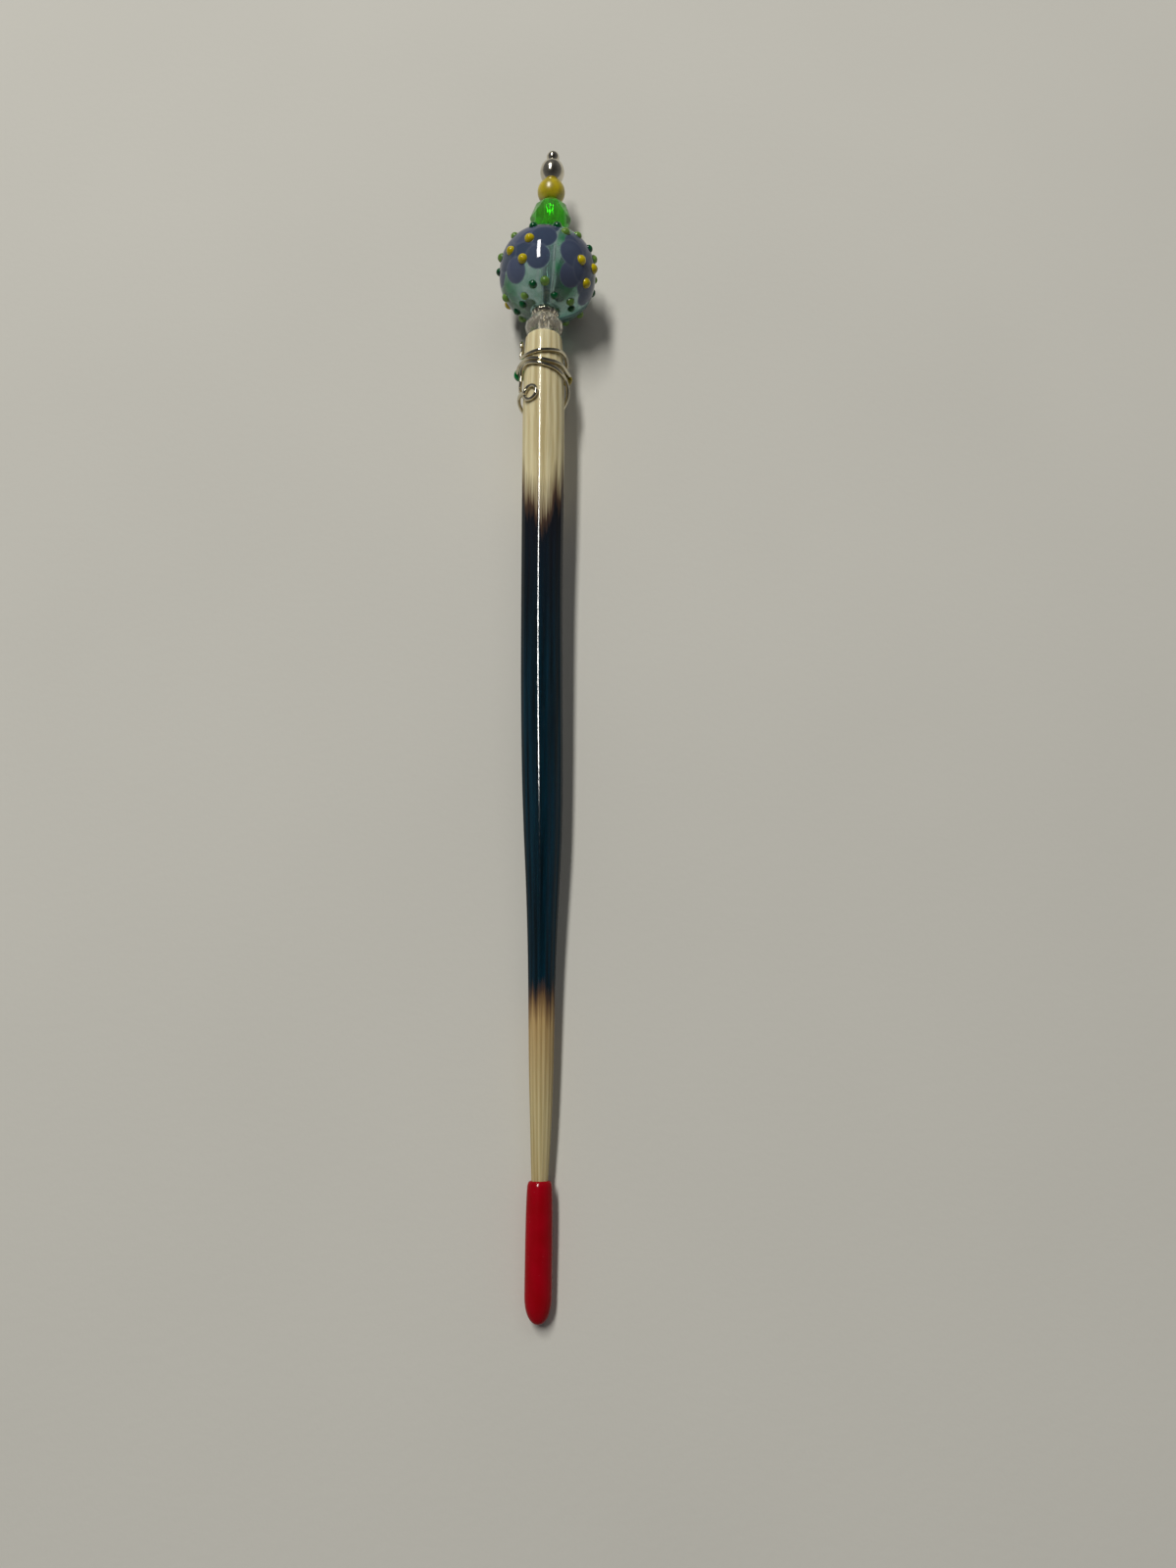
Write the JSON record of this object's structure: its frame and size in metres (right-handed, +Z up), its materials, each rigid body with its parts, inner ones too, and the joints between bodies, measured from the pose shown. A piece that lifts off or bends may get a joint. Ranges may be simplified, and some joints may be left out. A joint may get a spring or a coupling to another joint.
{
  "type": "beaded porcupine quill hair stick",
  "caption": "Banded porcupine quill with a soft cap on its point, and glass and metal beads and a wound wire at its blunt end.",
  "frame": {"origin": "middle of the bounding box, on the surface that the stick lies on", "axes": "+Z up, +Y along the stick from its capped point to its beads, +X to the right of that"},
  "size_m": [0.0148, 0.1614, 0.0143],
  "materials": {
    "quill": "smooth fluted keratin, cream with a black band",
    "cap": "soft red vinyl, satin",
    "silver": "polished silver plate",
    "wire": "bright drawn silver wire",
    "clear_glass": "cut, fire-polished",
    "lampwork_glass": "flame-worked, with melted-in petals and raised dots",
    "green_glass": "cut, fire-polished",
    "yellow_glass": "opaque, glossy",
    "green_seed_glass": "glossy seed bead",
    "yellow_seed_glass": "glossy seed bead"
  },
  "bodies": {
    "root": {"quill": "quill", "tip_cap": "cap", "head_pin": "silver", "clear_bead": "clear_glass", "silver_spacer": "silver", "lampwork_bead": "lampwork_glass", "green_bead": "green_glass", "yellow_bead": "yellow_glass", "silver_bead": "silver", "wire_wrap": "wire", "green_seed_bead": "green_seed_glass", "yellow_seed_bead": "yellow_seed_glass"}
  },
  "joints": []
}
